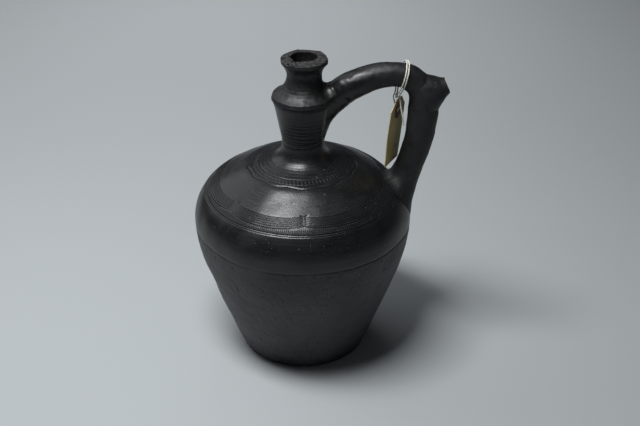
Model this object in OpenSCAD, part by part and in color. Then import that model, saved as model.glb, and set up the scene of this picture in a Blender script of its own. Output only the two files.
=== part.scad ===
// One-handled water jug of burnished black clay, with a strung paper tag on its handle.
// +Z is up. The origin is the centre of the flat base, and the handle is on the +X side.

/* [Body] */
// Radius of the flat base
base_r = 63; // [56:1:66]
// Largest radius of the body
belly_r = 106; // [102:1:110]
// Height of the largest radius above the base
belly_z = 145; // [142:1:148]
// Height of the seam where the shoulder is joined to the lower body
seam_z = 140; // [138:1:141]
// Thickness of the clay wall
wall = 6; // [5:0.5:7]
// Thickness of the floor
floor_t = 8; // [6:0.5:10]
// Radius of the shoulder's round, from the belly into the slope
shoulder_round = 44; // [42:1:46]
// Radius at which the shoulder's slope eases off towards the neck
slope_end_r = 56; // [54:1:58]

/* [Neck and mouth] */
// Smallest radius of the neck
neck_r = 20.5; // [20:0.5:22]
// Height of the neck's smallest radius
neck_z = 223; // [222:1:225]
// Height of the seam between the neck and the mouth
mouth_z = 266; // [265:1:267]
// Radius of the sharp collar below the mouth
collar_r = 30; // [29.5:0.5:31]
// Radius of the waist between the collar and the rim
waist_r = 16.5; // [16:0.5:18]
// Height of the waist
waist_z = 292.5; // [292:0.5:293]
// Radius of the rim
rim_r = 22.8; // [22.6:0.1:23.4]
// Height of the whole jug
jug_h = 310; // [309:1:312]
// Radius of the round hole in the mouth
mouth_bore_r = 12.25; // [11.5:0.25:12.5]
// Length of the straight stretch of that hole
mouth_bore_length = 26; // [22:1:27]

/* [Handle] */
// Radius of the arm, which runs from the collar to the elbow
arm_r = 12.6; // [12:0.1:13]
// Radius of the elbow, which carries the spout
elbow_r = 12.6; // [12.4:0.1:12.9]
// Radius of the post, which runs from the elbow down to the shoulder
post_r = 14.6; // [14:0.1:15]
// Radius at the broken end of the spout
spout_tip_r = 7; // [6.5:0.1:8]
// Radius of the drinking channel through the post and the spout
channel_r = 2.5; // [2:0.1:2.5]
// Radius of the clay smeared round the foot of the post
foot_fillet_r = 20.5; // [19.5:0.5:21]
// Radius of the clay smeared round the arm at the collar
collar_fillet_r = 18.5; // [18:0.5:19]

/* [Tag and string] */
// Width of the card tag
tag_w = 33; // [30:1:34]
// Length of the card tag
tag_h = 67; // [60:1:68]
// Thickness of the card
tag_t = 0.6; // [0.5:0.1:0.8]
// Size of the clipped corners
tag_clip = 10; // [8:0.5:11]
// Distance of the hole below the top edge of the card
tag_hole_drop = 12; // [11:0.5:13]
// Radius of the hole in the card
tag_hole_r = 2.5; // [2.3:0.1:3]
// Radius of the reinforcement patches
patch_r = 8.5; // [8:0.5:9]
// Thickness of a reinforcement patch
patch_t = 0.4; // [0.3:0.1:0.4]
// Diameter of the cotton string
string_d = 1.4; // [1.2:0.1:1.4]

/* [Hidden] */
$fn = 96;
clay = [0.10, 0.10, 0.11];
eps = 0.01;

// Lower wall: a shallow curve up to the arc that turns in at the belly.
base_edge = 3;
lower_arc_r = 146;
lower_arc_a = 20;
lower_bulge = 1.5;
belly_start = [belly_r - lower_arc_r * (1 - cos(lower_arc_a)), belly_z - lower_arc_r * sin(lower_arc_a)];
seam_a = asin((seam_z - belly_z) / lower_arc_r);
inner_seam_a = asin((seam_z - belly_z) / (lower_arc_r - wall));

// Shoulder: an arc, a slope of 30 degrees, then an easier slope that meets the root of the neck.
shoulder_a = 60;
groove_heights = [174.2, 175.8];
groove_r = 0.7;
slope_top = [belly_r - shoulder_round * (1 - cos(shoulder_a)), belly_z + shoulder_round * sin(shoulder_a)];
slope_end = [slope_end_r, slope_top[1] + (slope_top[0] - slope_end_r) / tan(shoulder_a)];
root_round = 17;
root_a = 72;
root_top = [neck_r + root_round * (1 - cos(root_a)), neck_z - root_round * sin(root_a)];

// Neck: it flares from its smallest radius in an arc and then a straight taper.
flare_r = 70;
flare_a = 12;
flare_end = [neck_r + flare_r * (1 - cos(flare_a)), neck_z + flare_r * sin(flare_a)];
neck_top_r = flare_end[0] + (mouth_z - flare_end[1]) * tan(flare_a);
neck_wall = 5.5;

// Mouth: the hollow above the collar and the flare under the rim are arcs that meet at the waist.
hollow_r = 20.5;
hollow_a = 67;
rim_round = 16;
rim_a = 51;
lip_z = 4;
rim_edge = 1.2;

// Handle: three arcs in the XZ plane, each tangent to the next.
elbow_round = 28;
elbow_x = 87.5;
elbow_z = 264.5;
arm_round = 80;
arm_z = elbow_z + elbow_round - arm_round;
post_round = 230;
post_x = elbow_x + elbow_round - post_round;
arm_end_a = 142;
arm_fillet_a = 130;
post_end_a = -26;
collar_fillet_length = 32;
foot_fillet_a = 67;
foot_fillet_start = [90, 169];
foot_fillet_length = 28;
foot_fillet_top_r = 12.3;
spout_a = 24;
spout_start = [114, 271];
spout_length = 24;
spout_neck_r = 9;
spout_neck_length = 8;
fillet_lip = 0.6;

// Tag: the place of its hole, its turn about the vertical, its lean in its own plane and the tilt
// that holds its foot away from the post.
tag_x = 91;
tag_y = 1.5;
tag_z = 256;
tag_turn = 63;
tag_lean = 4;
tag_tilt = 3;

// String: it hangs from the tag's hole, goes twice round the elbow in a plane that leans with
// the elbow at that place, and ends in a short tail. The knot holds all its strands together.
string_sides = 8;
knot_r = 2.8;
knot_h = -21.2;
loop_a = 15;
loop_centre = [elbow_x + elbow_round * sin(loop_a), 0, elbow_z + elbow_round * cos(loop_a)];
eye_route = [
    [90.6, -0.3, 270.3], [92.7, -0.4, 267.9], [93.6, 0, 265], [93.6, 0.3, 261.6], [93.2, 0.6, 258.6],
    [91, 1.5, 257], [88.8, 2.4, 258.6], [88, 2.7, 262], [87, 2.6, 266], [86.4, 2.1, 270]];
// Points round the elbow: along it, across it and up from its centreline.
loop_route = [
    [-2.2, 1.5, -19], [-2.1, 6.5, -15], [-2, 10.3, -10], [-1.9, 13.4, -3.7], [-1.7, 13, 4.9],
    [-1.4, 8.9, 10.7], [-1.1, 0, 13.9], [-0.8, -8.9, 10.7], [-0.5, -13, 4.9], [-0.3, -13.4, -3.7],
    [-0.2, -10.3, -10], [-0.1, -6.5, -15], [0, 0, -20], [0.1, 6.5, -15], [0.2, 10.3, -10],
    [0.3, 13.4, -3.7], [0.5, 13, 4.9], [0.8, 8.9, 10.7], [1.1, 0, 13.9], [1.4, -8.9, 10.7],
    [1.7, -13, 4.9], [1.9, -13.4, -3.7], [2, -10.3, -10], [2.1, -6.5, -15], [2.2, -2.6, -19.4]];
tail_route = [[92.4, -3, 268], [93, -5, 262], [94.2, -6.8, 256], [95.4, -7.8, 250], [96, -8, 244]];

function loop_point(p) =
    loop_centre + p[0] * [cos(loop_a), 0, -sin(loop_a)] + [0, p[1], 0] + p[2] * [sin(loop_a), 0, cos(loop_a)];

function arc(c, r, a0, a1, n) =
    [for (i = [0:n]) let (a = a0 + (a1 - a0) * i / n) c + r * [cos(a), sin(a)]];

// A shallow curve from p to q that stands s proud of the straight line.
function bulge(p, q, s, n) =
    let (d = q - p)
    [for (i = [0:n]) let (t = i / n) p + t * d + 4 * s * t * (1 - t) / norm(d) * [d[1], -d[0]]];

function lower_wall() = concat(
    arc([base_r - base_edge, base_edge], base_edge, -90, -20, 4),
    bulge([base_r, base_edge], belly_start, lower_bulge, 8),
    arc([belly_r - lower_arc_r, belly_z], lower_arc_r, -lower_arc_a + 2.5, seam_a, 6));

function shoulder_wall(inset) = concat(
    arc([belly_r - lower_arc_r, belly_z], lower_arc_r - inset, inset > 0 ? inner_seam_a : seam_a, 0, 2),
    arc([belly_r - shoulder_round, belly_z], shoulder_round - inset, 5, shoulder_a, 11),
    [slope_end - inset * [cos(shoulder_a), sin(shoulder_a)]]);

function neck_wall() = concat(
    arc([neck_r + root_round, neck_z], root_round, 180 + root_a, 180, 9),
    arc([neck_r + flare_r, neck_z], flare_r, 179, 180 - flare_a, 3),
    [[neck_top_r, mouth_z]]);

function mouth_wall() = concat(
    [[neck_top_r, mouth_z], [collar_r, mouth_z + lip_z], [collar_r - 0.3, mouth_z + lip_z + 1.6]],
    arc([waist_r + hollow_r, waist_z], hollow_r, 180 + hollow_a, 180, 9),
    arc([waist_r + rim_round, waist_z], rim_round, 174, 180 - rim_a, 7),
    [[rim_r, jug_h - rim_edge], [rim_r - rim_edge, jug_h]]);

// A smooth curve through the points of a route, with one more point half-way along each stretch.
function smooth(p) = concat(
    [for (i = [0:len(p) - 2])
        let (a = p[max(i - 1, 0)], b = p[i], c = p[i + 1], d = p[min(i + 2, len(p) - 1)])
        each [b, (9 * (b + c) - a - d) / 16]],
    [p[len(p) - 1]]);

function direction(p, i) =
    let (d = p[min(i + 1, len(p) - 1)] - p[max(i - 1, 0)]) d / norm(d);

// A vector across each ring of a tube, carried on from the ring before so that the tube isn't twisted.
function across(p, i = 0, last = [0, 1, 0]) = i == len(p) ? [] :
    let (d = direction(p, i), v = last - (last * d) * d)
    concat([v / norm(v)], across(p, i + 1, v / norm(v)));

// The whole outside as one filled solid, which the handle is trimmed against.
module outside() {
    rotate_extrude() polygon(concat([[0, 0]], lower_wall(), shoulder_wall(0), neck_wall(), mouth_wall(),
                                    [[0, jug_h]]));
}

// A length of round bar bent about a horizontal axis, between two angles in the XZ plane.
module bend(x, z, r, a0, a1, tube_r) {
    translate([x, 0, z]) rotate([90, 0, 0]) rotate([0, 0, a0])
        rotate_extrude(angle = a1 - a0) translate([r, 0]) circle(tube_r);
}

// Turns a bar along +Z into the XZ direction at angle a above +X.
module along(p, a) {
    translate([p[0], 0, p[1]]) rotate([0, 90 - a, 0]) children();
}

// The narrow way that water takes from the body, up the post and out of the spout.
module channel() {
    bend(post_x, elbow_z, post_round, post_end_a - 2, 2, channel_r);
    along(spout_start, spout_a) translate([0, 0, -4]) cylinder(h = spout_length + 8, r = channel_r);
}

module lower_body() {
    color(clay) rotate_extrude() polygon(concat(
        [[0, 0]], lower_wall(),
        arc([belly_r - lower_arc_r, belly_z], lower_arc_r - wall, inner_seam_a, -lower_arc_a, 6),
        [[base_r - 1, floor_t + 12], [base_r - 9, floor_t + 2], [base_r - 14, floor_t], [0, floor_t]]));
}

module shoulder() {
    inner = shoulder_wall(wall);
    color(clay) difference() {
        rotate_extrude() polygon(concat(
            shoulder_wall(0), [root_top, [18, root_top[1]], [24, root_top[1] - 5]],
            [for (i = [len(inner) - 1:-1:0]) inner[i]]));
        for (z = groove_heights) translate([0, 0, z])
            rotate_extrude() translate([belly_r - shoulder_round * (1 - cos(asin((z - belly_z) / shoulder_round))), 0])
                circle(groove_r);
        channel();
    }
}

module neck() {
    color(clay) rotate_extrude() polygon(concat(
        neck_wall(),
        [[neck_top_r - 8, mouth_z], [flare_end[0] - neck_wall, flare_end[1]],
         [neck_r - neck_wall, neck_z], [18, root_top[1]]]));
}

module mouth() {
    color(clay) difference() {
        rotate_extrude() polygon(concat(
            mouth_wall(),
            [[0, jug_h], [0, jug_h - mouth_bore_length], [mouth_bore_r, jug_h - mouth_bore_length],
             [neck_top_r - 9, mouth_z + 6], [neck_top_r - 8, mouth_z]]));
        translate([0, 0, jug_h - mouth_bore_length - eps])
            cylinder(h = mouth_bore_length + 2 * eps, r = mouth_bore_r);
    }
}

module elbow_bar() {
    bend(elbow_x, elbow_z, elbow_round, 0, 90, elbow_r);
}

module post_bar() {
    bend(post_x, elbow_z, post_round, post_end_a, 0, post_r);
}

module arm_bar() {
    bend(elbow_x, arm_z, arm_round, 90, arm_end_a, arm_r);
}

module handle_arm() {
    color(clay) difference() {
        arm_bar();
        outside();
    }
}

module handle_elbow() {
    color(clay) difference() {
        elbow_bar();
        channel();
    }
}

module handle_post() {
    color(clay) difference() {
        post_bar();
        outside();
        channel();
    }
}

module spout() {
    color(clay) difference() {
        along(spout_start, spout_a) rotate_extrude() polygon([
            [0, 0], [elbow_r - 1, 0], [spout_neck_r, spout_length - spout_neck_length],
            [spout_tip_r, spout_length], [0, spout_length]]);
        elbow_bar();
        post_bar();
        channel();
    }
}

module collar_fillet() {
    centre = [elbow_x + arm_round * cos(arm_fillet_a), arm_z + arm_round * sin(arm_fillet_a)];
    color(clay) difference() {
        along(centre, arm_fillet_a - 90) translate([0, 0, -collar_fillet_length])
            cylinder(h = collar_fillet_length, r1 = collar_fillet_r, r2 = arm_r + fillet_lip);
        arm_bar();
        outside();
    }
}

module foot_fillet() {
    color(clay) difference() {
        along(foot_fillet_start, foot_fillet_a)
            cylinder(h = foot_fillet_length, r1 = foot_fillet_r, r2 = foot_fillet_top_r);
        bend(post_x, elbow_z, post_round, post_end_a - 4, 0, post_r);
        outside();
    }
}

// Puts a flat piece, drawn round the tag's hole with +Y up, where the tag hangs.
module hang() {
    translate([tag_x, tag_y, tag_z]) rotate([0, 0, tag_turn]) rotate([90 + tag_tilt, 0, 0])
        rotate([0, 0, -tag_lean]) children();
}

module card_outline() {
    top = tag_hole_drop;
    bottom = tag_hole_drop - tag_h;
    side = tag_w / 2;
    polygon([[-side, bottom], [side, bottom], [side, top - tag_clip], [side - tag_clip, top],
             [tag_clip - side, top], [-side, top - tag_clip]]);
}

module tag_card() {
    color([0.78, 0.68, 0.47]) hang() difference() {
        translate([0, 0, -tag_t / 2]) linear_extrude(tag_t) card_outline();
        translate([0, 0, -tag_t]) cylinder(h = 2 * tag_t, r = tag_hole_r);
    }
}

module patch(z) {
    color([0.42, 0.16, 0.10]) hang() difference() {
        translate([0, 0, z]) cylinder(h = patch_t, r = patch_r);
        translate([0, 0, z - patch_t]) cylinder(h = 3 * patch_t, r = tag_hole_r);
    }
}

module patch_front() {
    patch(tag_t / 2);
}

module patch_back() {
    patch(-tag_t / 2 - patch_t);
}

module tube(p, r, sides) {
    u = across(p);
    rings = len(p);
    polyhedron(
        points = [for (i = [0:rings - 1], k = [0:sides - 1])
            let (v = cross(direction(p, i), u[i]))
            p[i] + r * (cos(360 * k / sides) * u[i] + sin(360 * k / sides) * v)],
        faces = concat(
            [[for (k = [0:sides - 1]) k], [for (k = [sides - 1:-1:0]) (rings - 1) * sides + k]],
            [for (i = [0:rings - 2], k = [0:sides - 1])
                let (a = i * sides + k, b = i * sides + (k + 1) % sides)
                each [[a, a + sides, b], [b, a + sides, b + sides]]]));
}

module tag_string() {
    route = concat(eye_route, [for (p = loop_route) loop_point(p)], tail_route);
    color([0.86, 0.84, 0.76]) tube(smooth(route), string_d / 2, string_sides);
}

module string_knot() {
    color([0.86, 0.84, 0.76]) translate(loop_point([0, 0, knot_h])) sphere(knot_r, $fn = 48);
}

lower_body();
shoulder();
neck();
mouth();
handle_arm();
handle_elbow();
handle_post();
spout();
collar_fillet();
foot_fillet();
tag_card();
patch_front();
patch_back();
tag_string();
string_knot();
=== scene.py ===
"""A one-handled water jug of burnished black clay, with a strung paper tag on its handle.

Lengths in the shape functions are in millimetres, and meshes are made in metres from them.
The jug stands on Z = 0 with its axis on Z, and the handle is in the XZ plane on the +X side.
"""
import math

import bpy
import numpy as np
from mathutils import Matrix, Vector


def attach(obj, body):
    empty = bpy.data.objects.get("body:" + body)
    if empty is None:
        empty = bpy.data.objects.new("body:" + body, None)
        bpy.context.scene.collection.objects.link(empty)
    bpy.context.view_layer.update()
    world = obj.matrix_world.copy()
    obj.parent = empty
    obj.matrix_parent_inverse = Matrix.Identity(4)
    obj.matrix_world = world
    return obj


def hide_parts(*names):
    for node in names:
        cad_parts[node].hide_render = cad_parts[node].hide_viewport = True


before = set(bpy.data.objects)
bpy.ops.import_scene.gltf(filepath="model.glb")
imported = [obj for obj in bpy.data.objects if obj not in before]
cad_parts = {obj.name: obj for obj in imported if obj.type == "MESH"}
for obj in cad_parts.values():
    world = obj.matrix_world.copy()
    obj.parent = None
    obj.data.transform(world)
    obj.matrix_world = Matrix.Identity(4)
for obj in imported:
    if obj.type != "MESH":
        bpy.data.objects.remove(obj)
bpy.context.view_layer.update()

MM = 0.001
# Points round each ring of the jug, the handle and the spout
SEGMENTS, HANDLE_SIDES, SPOUT_SIDES = 600, 120, 96

# ---- Sizes of the jug, as in the CAD design ----
BASE_R, BASE_EDGE = 63, 3
BELLY_R, BELLY_Z = 106, 145
LOWER_ARC_R, LOWER_ARC_A, LOWER_BULGE = 146, 20, 1.5
SEAM_Z = 140
WALL, FLOOR_T = 6, 8
SHOULDER_ROUND, SHOULDER_A = 44, 60
SLOPE_END_R = 56
NECK_R, NECK_Z = 20.5, 223
ROOT_ROUND, ROOT_A = 17, 72
FLARE_R, FLARE_A = 70, 12
MOUTH_Z, COLLAR_R, LIP_Z = 266, 30, 4
WAIST_R, WAIST_Z = 16.5, 292.5
HOLLOW_R, HOLLOW_A = 20.5, 67
RIM_ROUND, RIM_A = 16, 51
RIM_R, RIM_EDGE, JUG_H = 22.8, 1.2, 310
BORE_R, BORE_LENGTH, NECK_WALL = 12.25, 26, 5.5

ARM_C, ARM_ROUND, ARM_A = (87.5, 212.5), 80, 142
ELBOW_C, ELBOW_ROUND = (87.5, 264.5), 28
POST_C, POST_ROUND = (-114.5, 264.5), 230
SPOUT_START, SPOUT_A, SPOUT_LENGTH, CHANNEL_R = (114, 271), 24, 24, 2.4
# The spout's radius at distances along it, and how widely it runs into the elbow
SPOUT_PLACES = (0, 12, 16, 18, 20, SPOUT_LENGTH)
SPOUT_RADII = (11.9, 11.6, 10.7, 9.9, 8.9, 7.7)
SPOUT_BLEND = 14


# ---- Small helpers ----
def smoothstep(x, low, high):
    t = np.clip((x - low) / (high - low), 0, 1)
    return t * t * (3 - 2 * t)


def ridge(x, width):
    """A soft bump of height 1 and about the given width at x = 0."""
    return np.exp(-(x / (0.5 * width)) ** 2)


class Waves:
    """Smooth noise of about unit height, made of waves in random directions."""

    def __init__(self, seed, length, count=28):
        random = np.random.default_rng(seed)
        direction = random.normal(size=(count, 3))
        direction /= np.linalg.norm(direction, axis=1)[:, None]
        self.k = direction * (2 * math.pi / length) * random.uniform(0.6, 1.5, count)[:, None]
        self.phase = random.uniform(0, 2 * math.pi, count)
        self.scale = math.sqrt(2 / count)

    def __call__(self, x, y, z):
        total = np.zeros(np.broadcast(x, y, z).shape)
        for k, phase in zip(self.k, self.phase):
            total += np.sin(k[0] * x + k[1] * y + k[2] * z + phase)
        return total * self.scale


broad = Waves(1, 90)
medium = Waves(2, 24)
small = Waves(3, 7)
fine = Waves(4, 2.6)


def arc(centre, radius, start, end, step=0.4):
    """Points along an arc about a step apart, with its angles in degrees."""
    count = max(2, math.ceil(abs(math.radians(end - start)) * radius / step))
    a = np.radians(np.linspace(start, end, count + 1))
    return np.column_stack([centre[0] + radius * np.cos(a), centre[1] + radius * np.sin(a)])


def bulge(p, q, proud):
    """A shallow curve from p to q that stands proud of the straight line."""
    p, q = np.array(p, float), np.array(q, float)
    t = np.linspace(0, 1, 120)[:, None]
    d = q - p
    return p + t * d + 4 * proud * t * (1 - t) / np.linalg.norm(d) * np.array([d[1], -d[0]])


def lengths(line):
    """Distance along a line at each of its points."""
    return np.concatenate([[0], np.cumsum(np.linalg.norm(np.diff(line, axis=0), axis=1))])


def resample(line, at):
    """Points of a line at the given distances along it."""
    s = lengths(line)
    return np.column_stack([np.interp(at, s, line[:, i]) for i in range(line.shape[1])])


def soften(line, radius):
    """Rounds the corners of a line off, and keeps its two ends."""
    step = 0.2
    total = lengths(line)[-1]
    count = round(total / step)
    line = resample(line, np.linspace(0, total, count + 1))
    reach = math.ceil(3 * radius / step)
    kernel = np.exp(-0.5 * (np.arange(-reach, reach + 1) * step / radius) ** 2)
    kernel /= kernel.sum()
    before, after = 2 * line[0] - line[reach:0:-1], 2 * line[-1] - line[-2:-reach - 2:-1]
    padded = np.concatenate([before, line, after])
    return np.column_stack([np.convolve(padded[:, i], kernel, "valid") for i in range(2)])


def link(obj):
    bpy.context.scene.collection.objects.link(obj)
    return obj


def make_mesh(name, points, faces, sharp=None):
    """A smooth-shaded mesh in metres from points in millimetres. sharp says which edges stay crisp."""
    mesh = bpy.data.meshes.new(name)
    mesh.from_pydata((np.asarray(points, float) * MM).tolist(), [], faces)
    mesh.polygons.foreach_set("use_smooth", [True] * len(mesh.polygons))
    if sharp is not None:
        ends = np.empty(2 * len(mesh.edges), int)
        mesh.edges.foreach_get("vertices", ends)
        crisp = sharp(ends.reshape(-1, 2))
        layer = mesh.attributes.new("sharp_edge", "BOOLEAN", "EDGE")
        layer.data.foreach_set("value", crisp)
    mesh.update()
    return link(bpy.data.objects.new(name, mesh))


def grid_faces(rings, sides, closed=False):
    """Four-sided faces between rings of points, each ring being closed round its sides."""
    i = np.arange(rings if closed else rings - 1)[:, None]
    j = np.arange(sides)[None, :]
    a = i * sides + j
    b = i * sides + (j + 1) % sides
    c = (i + 1) % rings * sides + (j + 1) % sides
    d = (i + 1) % rings * sides + j
    return np.stack([a, b, c, d], axis=-1).reshape(-1, 4).tolist()


def cap_faces(rings, sides, count):
    """Triangles from the first and the last ring to the last two of the mesh's count of points."""
    j = np.arange(sides)
    k = (j + 1) % sides
    last = (rings - 1) * sides
    first_cap = np.column_stack([np.full(sides, count - 2), k, j])
    last_cap = np.column_stack([np.full(sides, count - 1), last + j, last + k])
    return first_cap.tolist() + last_cap.tolist()


def along_rings(sides, crisp_rings):
    """Tells which edges run along one of the crisp rings."""
    def sharp(ends):
        a, b = ends[:, 0] // sides, ends[:, 1] // sides
        return (a == b) & np.isin(a, crisp_rings)

    return sharp


def finish_piece(obj, body, material, slot, *nodes):
    """Gives a piece its material, the body that it rides on and the nodes that it replaces."""
    obj.data.materials.append(material)
    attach(obj, body)
    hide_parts(*nodes)
    return obj


# ---- Outline of the jug ----
def cosd(a):
    return math.cos(math.radians(a))


def sind(a):
    return math.sin(math.radians(a))


def tand(a):
    return math.tan(math.radians(a))


belly_start = (BELLY_R - LOWER_ARC_R * (1 - cosd(LOWER_ARC_A)),
               BELLY_Z - LOWER_ARC_R * sind(LOWER_ARC_A))
seam_a = math.degrees(math.asin((SEAM_Z - BELLY_Z) / LOWER_ARC_R))
inner_seam_a = math.degrees(math.asin((SEAM_Z - BELLY_Z) / (LOWER_ARC_R - WALL)))
lower_centre = (BELLY_R - LOWER_ARC_R, BELLY_Z)
shoulder_centre = (BELLY_R - SHOULDER_ROUND, BELLY_Z)
slope_top = (BELLY_R - SHOULDER_ROUND * (1 - cosd(SHOULDER_A)),
             BELLY_Z + SHOULDER_ROUND * sind(SHOULDER_A))
slope_end = (SLOPE_END_R, slope_top[1] + (slope_top[0] - SLOPE_END_R) / tand(SHOULDER_A))
root_top = (NECK_R + ROOT_ROUND * (1 - cosd(ROOT_A)), NECK_Z - ROOT_ROUND * sind(ROOT_A))
flare_end = (NECK_R + FLARE_R * (1 - cosd(FLARE_A)), NECK_Z + FLARE_R * sind(FLARE_A))
neck_top_r = flare_end[0] + (MOUTH_Z - flare_end[1]) * tand(FLARE_A)

lower_outline = np.concatenate([
    arc((BASE_R - BASE_EDGE, BASE_EDGE), BASE_EDGE, -90, -15),
    bulge((BASE_R, BASE_EDGE), belly_start, LOWER_BULGE)[1:],
    arc(lower_centre, LOWER_ARC_R, -LOWER_ARC_A, seam_a)[1:]])
upper_outline = np.concatenate([
    arc(lower_centre, LOWER_ARC_R, seam_a, 0),
    arc(shoulder_centre, SHOULDER_ROUND, 0, SHOULDER_A)[1:],
    [slope_end, root_top],
    arc((NECK_R + ROOT_ROUND, NECK_Z), ROOT_ROUND, 180 + ROOT_A, 180)[1:],
    arc((NECK_R + FLARE_R, NECK_Z), FLARE_R, 180, 180 - FLARE_A)[1:],
    [(neck_top_r, MOUTH_Z)]])
mouth_outline = np.concatenate([
    [(neck_top_r, MOUTH_Z), (neck_top_r + 0.2, MOUTH_Z + 1.6), (COLLAR_R, MOUTH_Z + LIP_Z),
     (COLLAR_R - 0.6, MOUTH_Z + LIP_Z + 1.4)],
    arc((WAIST_R + HOLLOW_R, WAIST_Z), HOLLOW_R, 180 + HOLLOW_A, 180),
    arc((WAIST_R + RIM_ROUND, WAIST_Z), RIM_ROUND, 178, 180 - RIM_A),
    [(RIM_R, JUG_H - 2.6), (RIM_R, JUG_H - RIM_EDGE), (RIM_R - RIM_EDGE, JUG_H),
     (BORE_R + 0.8, JUG_H), (BORE_R, JUG_H - 0.8), (BORE_R, JUG_H - BORE_LENGTH)]])

# Outside of the whole jug below the mouth, softened where the slope changes.
MOUTH_SOFT, SLOPE_SOFT = 0.45, 2.5
outside = np.concatenate([lower_outline, soften(upper_outline, SLOPE_SOFT)[1:]])
outside_s = lengths(outside)
seam_s = lengths(lower_outline)[-1]
belly_s = np.interp(BELLY_Z, outside[:, 1], outside_s)
neck_seam_s = np.interp(root_top[1], outside[:, 1], outside_s)


def spacing(up):
    """Distance between rings at a distance up the wall from the belly: fine where it is incised."""
    decorated = smoothstep(up, 25, 30) * (1 - smoothstep(up, 96, 100))
    fine_belly = ridge(up + 5, 4)
    return 1.5 - 1.0 * decorated - 0.9 * fine_belly


def rings_between(start, end):
    """Distances of the rings along the outline from start to end."""
    s = np.linspace(start, end, 2000)
    density = 1 / spacing(s - belly_s)
    total = np.concatenate([[0], np.cumsum((density[1:] + density[:-1]) / 2 * np.diff(s))])
    count = math.ceil(total[-1])
    return np.interp(np.linspace(0, total[-1], count + 1), total, s)


# ---- Relief of the clay ----
# Places on the wall are distances up it from the belly. A groove has a place, a width and a depth.
SEAM_GROOVE = (-4.6, 1.5, 0.55)
FAINT_GROOVE = (3.9, 1.0, 0.14)
DOUBLE_GROOVE = [(31.6, 0.9, 0.36), (33.2, 1.0, 0.45)]
TICK_GROOVES = [(86.6, 0.9, 0.26), (93.2, 1.0, 0.26)]
NECK_GROOVES = [(126.5, 1.1, 0.28), (131.4, 1.1, 0.28), (141.6, 1.1, 0.28)]
# Swags of comb lines, and the angle at which the first one has its middle
SWAGS, SWAG_START = 7, -166
COMB_LINES, COMB_UP, COMB_PITCH, COMB_WIDTH, COMB_DEPTH = 6, 38.2, 2.2, 1.1, 0.5
WAVE_UP, WAVE_WIDTH, WAVE_DEPTH, RIPPLES = 82.6, 1.25, 0.62, 13
TICKS_UP, TICK_HEIGHT, TICK_DEPTH, TICKS = 89.6, 4.2, 0.34, 78
NICKS_FROM, NICKS_TO, NICKS = 34.6, 37.6, 300
# Where the rim is chipped, and how many flats it is worn to
CHIP_A, FACETS = -128, 6
# How far the neck and the rim lean to the handle's side, and the hole to the back
NECK_SHIFT, RIM_SHIFT, BORE_BACK = 0.9, 1.8, 3.0


def wobble(x, y, z):
    """Unevenness of the whole wall, as thrown by hand."""
    return 0.30 * broad(x, y, z) + 0.10 * medium(x, y, z)


def groove(up, place, width, depth):
    """How deep a groove is at a distance up the wall."""
    return depth * ridge(up - place, width)


def from_angle(degrees, middle):
    """Angles as measured from a middle one, between -180 and 180."""
    return (degrees - middle + 180) % 360 - 180


def comb_band(degrees, up):
    """Lines scratched together in short overlapping swags, which hook up at their ends."""
    depth = np.zeros(np.broadcast(degrees, up).shape)
    base = COMB_UP + 0.8 * np.cos(np.radians(degrees))
    swag_width = 360 / SWAGS
    for k in range(SWAGS):
        u = from_angle(degrees, SWAG_START + k * swag_width) / (0.56 * swag_width)
        inside = 1 - smoothstep(np.abs(u), 0.95, 1.0)
        bent = np.clip(np.abs(u), 0, 0.995) ** 3
        hook = 2.6 * u * u + 6 * (1 - np.sqrt(1 - bent))
        steep = np.sqrt(1 + (0.25 * bent / np.sqrt(1 - bent)) ** 2)
        tilt = 0.5 * math.sin(2.3 * k)
        for line in range(COMB_LINES):
            height = base + COMB_PITCH * line * (1 - 0.25 * bent) + hook + tilt * u
            depth = np.maximum(depth, inside * ridge((up - height) / steep, COMB_WIDTH))
    return COMB_DEPTH * depth


def shoulder_relief(degrees, up, x, y, z):
    """Height of the clay above the plain outline, on the shoulder and the lower neck."""
    out = wobble(x, y, z)
    drift = 0.4 * np.sin(np.radians(2 * degrees + 40))
    out -= groove(up - 0.5 * drift, *SEAM_GROOVE) + groove(up - drift, *FAINT_GROOVE)
    for place, width, depth in DOUBLE_GROOVE + TICK_GROOVES:
        out -= groove(up, place, width, depth)
    out -= comb_band(degrees, up)
    sway = 60 * np.sin(np.radians(2 * degrees))
    wave = WAVE_UP + 0.9 * np.sin(np.radians(RIPPLES * degrees + sway))
    wave += 0.5 * np.sin(np.radians(3 * degrees + 50))
    out -= groove(up, wave, WAVE_WIDTH, WAVE_DEPTH)
    turn = degrees * TICKS / 360
    out -= ridge(turn - np.round(turn), 0.36) * groove(up, TICKS_UP, TICK_HEIGHT, TICK_DEPTH)
    ribs = 0.10 * np.sin(2 * math.pi * (up - 94) / 3.7 + 0.5 * np.sin(np.radians(degrees)))
    out += ribs * smoothstep(up, 94, 98)
    return out


def neck_relief(degrees, up, x, y, z):
    """Throwing rings, which rise a little as they go round."""
    turn = 1.1 * np.sin(np.radians(degrees + 60))
    strength = 0.55 + 0.45 * np.sin(up / 7.3 + 1.1)
    out = wobble(x, y, z)
    out += 0.07 * np.sin(2 * math.pi * (up + turn) / 3.9) * strength
    out += 0.06 * np.sin(2 * math.pi * (up - turn) / 2.1 + 1.3) * strength
    for place, width, depth in NECK_GROOVES:
        out -= groove(up - turn, place, width, depth)
    return out


def lower_relief(degrees, up, x, y, z):
    """The unburnished wall: uneven, with small pits and low lumps."""
    out = wobble(x, y, z) + 0.05 * small(x, y, z)
    pits = small(x * 1.1 + 40, y * 1.1, z * 0.8)
    out -= 0.6 * smoothstep(pits, 1.65, 2.5)
    out -= groove(up, *SEAM_GROOVE)
    out += 0.9 * smoothstep(-up, 110, 146)
    return out


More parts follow.
